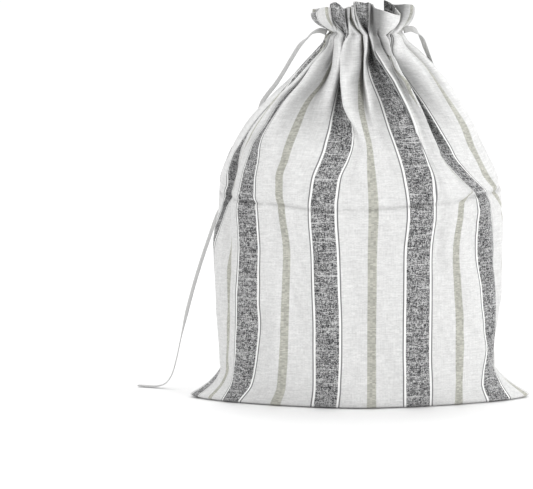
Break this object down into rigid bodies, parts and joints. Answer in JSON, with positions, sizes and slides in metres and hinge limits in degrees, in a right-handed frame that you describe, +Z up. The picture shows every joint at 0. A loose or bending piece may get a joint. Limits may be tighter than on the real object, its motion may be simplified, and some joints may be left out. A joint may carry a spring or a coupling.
{
  "type": "linen bread bag",
  "caption": "Standing drawstring bread bag of striped linen with a squashed base, pointed lower corners, a gathered neck and a ruffle.",
  "frame": {"origin": "on the surface that the bag stands on, below the middle of the bag without its tapes", "axes": "+Z up through the neck, -Y out of the front, +X to the right seen from the front"},
  "size_m": [0.3344, 0.1428, 0.346],
  "materials": {
    "linen": "plain woven linen with grey and beige stripes",
    "tape": "flat white cotton tape"
  },
  "bodies": {
    "root": {"front_panel": "linen", "back_panel": "linen", "drawstring_left": "tape", "drawstring_right": "tape"}
  },
  "joints": []
}
